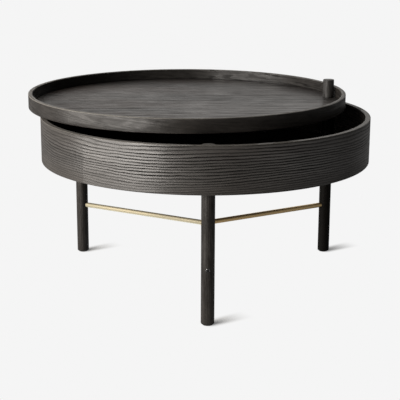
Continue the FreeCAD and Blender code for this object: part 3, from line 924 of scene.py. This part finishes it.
class TABLE_OT_rod_screws(bpy.types.Operator):
    """Models the socket screws that hold the rods' ends in the legs"""

    bl_idname = "table.rod_screws"
    bl_label = "Model rod screws"

    def execute(self, context):
        sizes = context.scene.table_fasteners
        looks = context.scene.table_finishes
        tip, head = radial_reach("front_rod_screw")
        head_radius = half_width("front_rod_screw")
        screw = model_screw(
            "rod_screw_pattern", head_radius=head_radius, head_height=sizes.rod_head_height,
            shank_radius=sizes.shank / 2, length=head - tip, tip_round=sizes.rod_tip_round,
            head_round=sizes.rod_head_round, head_segments=4)
        corner_radius = sizes.socket_flats / math.sqrt(3)
        socket = add_bar("socket_cutter", sides=6, radius=corner_radius, length=2 * sizes.socket_depth)
        socket.data.transform(Matrix.Translation((0, 0, sizes.socket_depth)))
        carve(screw, socket)
        smooth(screw, SCREW_CRISP)
        for leg in LEGS:
            node = leg + "_rod_screw"
            place = driven(node, outward=True, distance=head)
            material = rod_screw_finish(looks, node, head_radius)
            set_down(screw, leg + "_socket_screw", place, material, node)
        put_away(screw)
        return {"FINISHED"}


class TABLE_OT_leg_screws(bpy.types.Operator):
    """Models the cross-recess screws that hold the legs to the drum's wall"""

    bl_idname = "table.leg_screws"
    bl_label = "Model leg screws"

    def execute(self, context):
        sizes = context.scene.table_fasteners
        looks = context.scene.table_finishes
        head, tip = radial_reach("front_leg_lower_screw")
        screw = model_screw(
            "leg_screw_pattern", head_radius=half_width("front_leg_lower_screw"),
            head_height=sizes.leg_head_height, shank_radius=sizes.shank / 2, length=tip - head,
            tip_round=sizes.leg_tip_round, head_round=sizes.leg_head_round, head_segments=6)
        for turn in (0, math.radians(90)):
            carve(screw, self.arm(sizes, turn))
        smooth(screw, SCREW_CRISP)
        material = steel_finish("screw_steel_leg", toned(looks.screw_steel, 3), roughness=0.34)
        for leg in LEGS:
            for level in ("lower", "upper"):
                node = f"{leg}_leg_{level}_screw"
                place = driven(node, outward=False, distance=head)
                set_down(screw, f"{leg}_{level}_cross_screw", place, material, node)
        put_away(screw)
        return {"FINISHED"}

    def arm(self, sizes, turn):
        """One pair of arms of the cross, narrower at its bottom."""
        bpy.ops.object.select_all(action="DESELECT")
        bpy.ops.mesh.primitive_cube_add(size=1)
        arm = bpy.context.active_object
        bpy.ops.transform.resize(value=(sizes.cross_span, sizes.cross_width, 2 * sizes.cross_depth))
        bpy.ops.object.transform_apply(location=True, rotation=True, scale=True)
        bpy.ops.object.mode_set(mode="EDIT")
        pick_faces(arm, lambda place, normal: normal.z < -FLAT)
        bpy.ops.transform.resize(value=CROSS_TAPER)
        bpy.ops.object.mode_set(mode="OBJECT")
        arm.data.transform(Matrix.Rotation(turn, 4, "Z"))
        return arm


class TABLE_OT_foot_pads(bpy.types.Operator):
    """Models the felt pads under the feet"""

    bl_idname = "table.foot_pads"
    bl_label = "Model foot pads"

    def execute(self, context):
        sizes = context.scene.table_fasteners
        looks = context.scene.table_finishes
        low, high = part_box("front_foot_pad")
        radius = half_width("front_foot_pad")
        pad = add_bar("foot_pad_pattern", PAD_SIDES, radius, high.z - low.z)
        bpy.ops.object.mode_set(mode="EDIT")
        round_top(pad, sizes.pad_round, segments=3)
        round_bottom(pad, sizes.pad_round, segments=3)
        for _ in range(PAD_RINGS):
            pick_faces(pad, lambda place, normal: abs(normal.z) > FLAT and place.xy.length < TINY)
            bpy.ops.mesh.inset(thickness=radius / (PAD_RINGS + 2), depth=0)
        bpy.ops.object.mode_set(mode="OBJECT")
        smooth(pad, PAD_CRISP)
        material = felt_finish(looks)
        for leg in LEGS:
            node = leg + "_foot_pad"
            spot = middle(node)
            place = Matrix.Translation((spot.x, spot.y, high.z))
            piece = set_down(pad, leg + "_felt_pad", place, material, node)
        put_away(pad)
        return {"FINISHED"}


class TABLE_OT_swivel(bpy.types.Operator):
    """Finishes the stud, bush and washers that the tray turns on"""

    bl_idname = "table.swivel"
    bl_label = "Finish swivel"

    def execute(self, context):
        looks = context.scene.table_finishes
        dress("pivot_spindle", steel_finish("bright_steel", looks.spindle_steel, roughness=0.28))
        nylon = nylon_finish(looks)
        for node in ("pivot_bush", "thrust_washer", "top_washer"):
            dress(node, nylon)
        return {"FINISHED"}


class TABLE_OT_stage(bpy.types.Operator):
    """Lays the pale floor, and sets the lamp, the backdrop and the camera"""

    bl_idname = "table.stage"
    bl_label = "Set stage"

    def execute(self, context):
        studio = context.scene.table_studio
        self.lay_floor(studio)
        self.hang_backdrop(context, studio)
        self.set_key(studio)
        self.set_camera(context, studio)
        context.scene.view_settings.view_transform = "Standard"
        return {"FINISHED"}

    def lay_floor(self, studio):
        """Paper, evenly white to the camera but for the feet's partly painted shadows.

        Gloss sees a painted pool of light on it.
        """
        bpy.ops.object.select_all(action="DESELECT")
        bpy.ops.mesh.primitive_plane_add(size=FLOOR_SIZE)
        floor = bpy.context.active_object
        floor.name = "paper_floor"
        material, nodes = new_finish("paper")
        camera, glossy, through = nodes.rays()
        shown = camera * (1 - self.foot_shadows(nodes, studio) * SHADE_DEPTH)
        pool = POOL_ROUND + self.painted_light_pool(nodes, studio) * POOL_LIGHT
        seen = shown + through + glossy * pool
        dimmed = nodes.blend(camera, toned(studio.paper, PAPER_DIMMED), studio.paper)
        lit = nodes.add("ShaderNodeBsdfDiffuse", None, {"Color": dimmed})
        even = nodes.add("ShaderNodeEmission", None, {"Color": rgba(studio.paper), "Strength": 1.0})
        mixed = nodes.add("ShaderNodeMixShader", None, {0: seen, 1: lit, 2: even})
        nodes.add("ShaderNodeOutputMaterial", None, {"Surface": mixed})
        floor.data.materials.append(material)

    def painted_light_pool(self, nodes, studio):
        """A painted oval of light on the floor, left of the drum's axis and drawn out from front to back.
        """
        x, y = nodes.place()[:2]
        right = x - studio.pool_place[0]
        back = y - studio.pool_place[1]
        oval = (right * right + back * back * POOL_OVAL).maths("SQRT")
        return (1 - oval.fade(*studio.pool_edge)) * (1 - x.fade(*POOL_RIGHT))

    def foot_shadows(self, nodes, studio):
        """Painted shadows of the feet: masks where the floor shows its own shading, greyer than the paper.
        """
        share = 0.0
        for leg in LEGS:
            foot = middle(leg + "_foot_pad")
            behind, side = nodes.place((foot.x, foot.y, 0), studio.shade_bearing)[:2]
            spread = 1 - (side.maths("ABSOLUTE") - behind * SHADE_SPREAD).fade(*SHADE_WIDTH)
            length = behind.between(SHADE_START, (SHADE_FADE, studio.foot_shade))
            share = spread * length + share
        return share

    def hang_backdrop(self, context, studio):
        """White to the camera; to the table a pale wall at the back left, a weak fill and a dim room."""
        world = bpy.data.worlds.new("studio")
        context.scene.world = world
        nodes = Nodes(world)
        direction = nodes.add("ShaderNodeTexCoord", output="Generated")
        camera, glossy, through = nodes.rays()
        wall = nodes.towards(direction, WALL_SIDE).fade(*WALL_EDGE)
        fill = nodes.towards(direction, FILL_SIDE).fade(*FILL_EDGE)
        lights = ROOM_LIGHT + wall * WALL_LIGHT + fill * FILL_LIGHT
        room = lights * (MATT_SHARE + (1 - MATT_SHARE) * glossy)
        plain = camera.maths("MAXIMUM", through)
        strength = room + (1 - room) * plain
        colour = nodes.blend(plain, studio.room, studio.paper)
        light = nodes.add("ShaderNodeBackground", None, {"Color": colour, "Strength": strength})
        nodes.add("ShaderNodeOutputWorld", None, {"Surface": light})

    def set_key(self, studio):
        """One large soft lamp, left of the camera."""
        turn = studio.key_bearing
        width, height = studio.key_size
        towards = Vector((-math.sin(turn), -math.cos(turn), 0))
        stand = Vector((0, 0, height / 2 + LAMP_GAP))
        bpy.ops.object.light_add(type="AREA", location=stand + towards * studio.key_distance)
        lamp = bpy.context.active_object
        lamp.name = "key_lamp"
        lamp.visible_camera = False
        lamp.rotation_mode = "QUATERNION"
        lamp.rotation_quaternion = (-towards).to_track_quat("-Z", "Y")
        lamp.data.shape = "RECTANGLE"
        lamp.data.size = width
        lamp.data.size_y = height
        lamp.data.energy = studio.key_power
        lamp.data.color = studio.key_colour

    def set_camera(self, context, studio):
        """Stands the camera where the photograph was taken."""
        bpy.ops.object.camera_add()
        camera = bpy.context.active_object
        camera.name = "photo_camera"
        level = math.radians(90) - studio.camera_pitch
        camera.matrix_world = (
            Matrix.Translation(studio.camera_place)
            @ Matrix.Rotation(studio.camera_pan, 4, "Z")
            @ Matrix.Rotation(level, 4, "X")
            @ Matrix.Rotation(studio.camera_roll, 4, "Z"))
        camera.data.sensor_width = SENSOR_WIDTH
        camera.data.lens = studio.lens
        camera.data.clip_end = FAR_CLIP
        context.scene.camera = camera


OPERATORS = (
    TABLE_OT_drum, TABLE_OT_tray, TABLE_OT_legs, TABLE_OT_brass, TABLE_OT_rod_screws, TABLE_OT_leg_screws,
    TABLE_OT_foot_pads, TABLE_OT_swivel, TABLE_OT_stage)


class TABLE_PT_panel(bpy.types.Panel):
    """Lists the table's sizes and finishes, and the steps that use them"""

    bl_idname = "TABLE_PT_panel"
    bl_label = "Swivel table"
    bl_space_type = "VIEW_3D"
    bl_region_type = "UI"
    bl_category = "Swivel table"

    def draw(self, context):
        scene = context.scene
        for group in (scene.table_fasteners, scene.table_finishes, scene.table_studio):
            box = self.layout.box()
            for name in group.__annotations__:
                box.prop(group, name)
        for operator in OPERATORS:
            self.layout.operator(operator.bl_idname)


CLASSES = (FastenerSizes, Finishes, Studio, *OPERATORS, TABLE_PT_panel)


def register():
    for item in CLASSES:
        bpy.utils.register_class(item)
    bpy.types.Scene.table_fasteners = PointerProperty(type=FastenerSizes)
    bpy.types.Scene.table_finishes = PointerProperty(type=Finishes)
    bpy.types.Scene.table_studio = PointerProperty(type=Studio)


def unregister():
    del bpy.types.Scene.table_studio
    del bpy.types.Scene.table_finishes
    del bpy.types.Scene.table_fasteners
    for item in reversed(CLASSES):
        bpy.utils.unregister_class(item)


def main():
    register()
    bpy.ops.table.drum()
    bpy.ops.table.tray()
    bpy.ops.table.legs()
    bpy.ops.table.brass()
    bpy.ops.table.rod_screws()
    bpy.ops.table.leg_screws()
    bpy.ops.table.foot_pads()
    bpy.ops.table.swivel()
    bpy.ops.table.stage()


if __name__ == "__main__":
    main()
